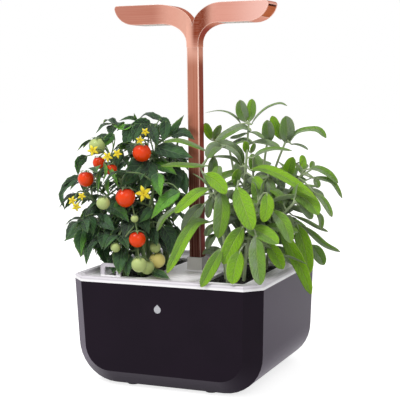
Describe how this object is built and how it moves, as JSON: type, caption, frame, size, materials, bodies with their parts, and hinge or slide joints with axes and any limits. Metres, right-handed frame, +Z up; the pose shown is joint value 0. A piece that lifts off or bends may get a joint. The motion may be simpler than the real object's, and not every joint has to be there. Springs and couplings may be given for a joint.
{
  "type": "countertop hydroponic garden",
  "caption": "Countertop hydroponic garden: dark faceted planter with a water tank, white deck, sliding copper grow lamp, a cherry tomato plant and a sage plant in lift-out pods.",
  "frame": {"origin": "on the table under the middle of the planter, at the centre of the whole outline's footprint", "axes": "+X to the right when facing the badge on the front, -Y out of the front, +Z up along the mast"},
  "size_m": [0.2912, 0.186, 0.376],
  "materials": {
    "dark_shell": "satin, near black with a plum tint",
    "black_plastic": "matte, moulded",
    "foot_rubber": "matte",
    "screw_steel": "plain machined",
    "tank_plastic": "smooth",
    "guide_plastic": "smooth",
    "contact_brass": "bright",
    "board_green": "solder mask over fibreglass",
    "badge_silver": "satin silver",
    "button_grey": "matte",
    "deck_white": "satin white with a lilac tint",
    "collar_grey": "frosted, light grey",
    "gauge_red": "glossy",
    "float_foam": "closed-cell foam",
    "soil_dark": "coarse, matte",
    "wick_cloth": "woven",
    "tomato_stem": "matte, slightly hairy",
    "tomato_leaf": "matte, veined",
    "tomato_red": "glossy skin",
    "tomato_green": "glossy skin, pale green to yellow",
    "petal_yellow": "matte",
    "sage_stem": "matte, downy",
    "sage_leaf": "matte, finely netted",
    "copper_paint": "satin copper colour",
    "copper_dark": "satin, darker copper",
    "cable_white": "smooth sleeve",
    "led_yellow": "phosphor under clear resin",
    "board_white": "white solder mask",
    "lens_frost": "frosted"
  },
  "bodies": {
    "base": {"outer_shell": "dark_shell", "bottom_cover": "black_plastic", "rubber_feet": "foot_rubber", "cover_screws": "screw_steel", "water_tank": "tank_plastic", "mast_socket": "guide_plastic", "contact_rails": "contact_brass", "service_panel": "black_plastic", "control_board": "board_green", "panel_screws": "screw_steel", "dc_inlet": "black_plastic", "inlet_pin": "contact_brass", "button_switch": "guide_plastic", "base_lead": "foot_rubber", "front_badge": "badge_silver"},
    "power_button": {"power_button": "button_grey"},
    "deck": {"deck": "deck_white", "mast_collar": "collar_grey", "gauge_guide": "deck_white", "hinge_pin": "screw_steel"},
    "filler_cap": {"filler_cap": "deck_white"},
    "float": {"float_bulb": "float_foam", "gauge_rod": "gauge_red"},
    "left_pod": {"pod_tray_left": "deck_white", "growing_block_left": "soil_dark", "wick_left": "wick_cloth", "tomato_stems": "tomato_stem", "tomato_leaves": "tomato_leaf", "ripe_tomatoes": "tomato_red", "unripe_tomatoes": "tomato_green", "tomato_flowers": "petal_yellow"},
    "right_pod": {"pod_tray_right": "deck_white", "growing_block_right": "soil_dark", "wick_right": "wick_cloth", "sage_stems": "sage_stem", "sage_leaves": "sage_leaf"},
    "lamp": {"mast_tube": "copper_paint", "mast_shoe": "black_plastic", "contact_shoes": "contact_brass", "mast_cable": "cable_white", "lamp_housing": "copper_paint", "end_cap_left": "copper_dark", "end_cap_right": "copper_dark", "led_board_left": "board_white", "led_board_right": "board_white", "leds_left": "led_yellow", "leds_right": "led_yellow", "board_screws": "screw_steel", "diffuser_left": "lens_frost", "diffuser_right": "lens_frost"}
  },
  "joints": [
    {"name": "power_button_press", "type": "slide", "parent": "base", "child": "power_button", "axis": [0, -1, 0], "range_m": [0, 0.0012], "stiffness_N_per_m": 400},
    {"name": "deck_lift", "type": "slide", "parent": "base", "child": "deck", "axis": [0, 0, 1], "range_m": [0, 0.02]},
    {"name": "filler_cap_hinge", "type": "hinge", "parent": "deck", "child": "filler_cap", "pos_m": [0, 0.0826, 0.1134], "axis": [-1, 0, 0], "range_deg": [0, 100]},
    {"name": "float_rise", "type": "slide", "parent": "deck", "child": "float", "axis": [0, 0, 1], "range_m": [0, 0.022]},
    {"name": "left_pod_lift", "type": "slide", "parent": "deck", "child": "left_pod", "axis": [0, 0, 1], "range_m": [0, 0.055]},
    {"name": "right_pod_lift", "type": "slide", "parent": "deck", "child": "right_pod", "axis": [0, 0, 1], "range_m": [0, 0.055]},
    {"name": "lamp_height", "type": "slide", "parent": "base", "child": "lamp", "axis": [0, 0, 1], "range_m": [0, 0.05]}
  ]
}
